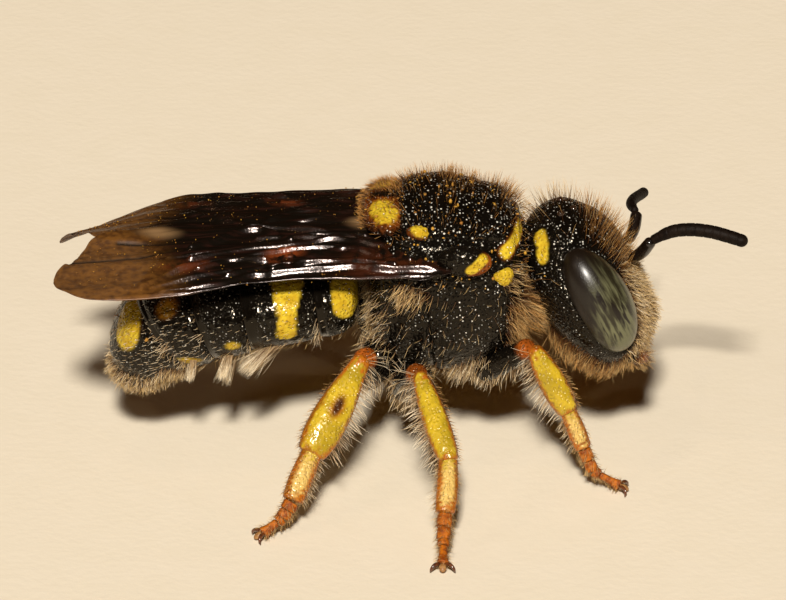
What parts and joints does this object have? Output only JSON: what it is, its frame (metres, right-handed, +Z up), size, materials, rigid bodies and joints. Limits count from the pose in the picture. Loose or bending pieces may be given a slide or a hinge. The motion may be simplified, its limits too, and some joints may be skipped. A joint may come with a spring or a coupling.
{
  "type": "bee",
  "caption": "Small standing solitary bee with wings folded over its back: black body with yellow marks, yellow legs, dark wings and pale hair.",
  "frame": {"origin": "on the floor under the middle of the bee's overall box", "axes": "+X to the head, +Y to the bee's left, +Z up"},
  "size_m": [0.0095, 0.008, 0.004],
  "materials": {
    "black_shell": "black pitted body shell with yellow marks, glossy",
    "yellow_shell": "yellow pitted leg shell, satin to glossy",
    "amber_shell": "amber feet and jaws, satin to glossy",
    "feeler": "dark brown, satin",
    "eye": "grey-green with dark streaks, glossy",
    "wing": "smoky brown membrane with violet sheen and raised veins",
    "hair": "cream to tan hair in fine tufts"
  },
  "bodies": {
    "root": {"pronotum": "black_shell", "thorax": "black_shell", "propodeum": "black_shell", "scutellum": "black_shell", "tegula_right": "black_shell", "tegula_left": "black_shell", "abdomen_1": "black_shell", "abdomen_2": "black_shell", "abdomen_3": "black_shell", "abdomen_4": "black_shell", "abdomen_5": "black_shell", "abdomen_6": "black_shell", "head": "black_shell", "clypeus": "black_shell", "eye_right": "eye", "mandible_right": "amber_shell", "eye_left": "eye", "mandible_left": "amber_shell", "scape_right": "feeler", "flagellum_right": "feeler", "scape_left": "feeler", "flagellum_left": "feeler", "forewing_right": "wing", "hindwing_right": "wing", "forewing_left": "wing", "hindwing_left": "wing", "fore_coxa_right": "black_shell", "fore_femur_right": "black_shell", "fore_tibia_right": "yellow_shell", "fore_basitarsus_right": "yellow_shell", "fore_tarsus_right": "amber_shell", "fore_coxa_left": "black_shell", "fore_femur_left": "black_shell", "fore_tibia_left": "yellow_shell", "fore_basitarsus_left": "yellow_shell", "fore_tarsus_left": "amber_shell", "middle_coxa_right": "black_shell", "middle_femur_right": "black_shell", "middle_tibia_right": "yellow_shell", "middle_basitarsus_right": "yellow_shell", "middle_tarsus_right": "amber_shell", "middle_coxa_left": "black_shell", "middle_femur_left": "black_shell", "middle_tibia_left": "yellow_shell", "middle_basitarsus_left": "yellow_shell", "middle_tarsus_left": "amber_shell", "hind_coxa_right": "black_shell", "hind_femur_right": "black_shell", "hind_tibia_right": "yellow_shell", "hind_basitarsus_right": "yellow_shell", "hind_tarsus_right": "amber_shell", "hind_coxa_left": "black_shell", "hind_femur_left": "black_shell", "hind_tibia_left": "yellow_shell", "hind_basitarsus_left": "yellow_shell", "hind_tarsus_left": "amber_shell"}
  },
  "joints": []
}
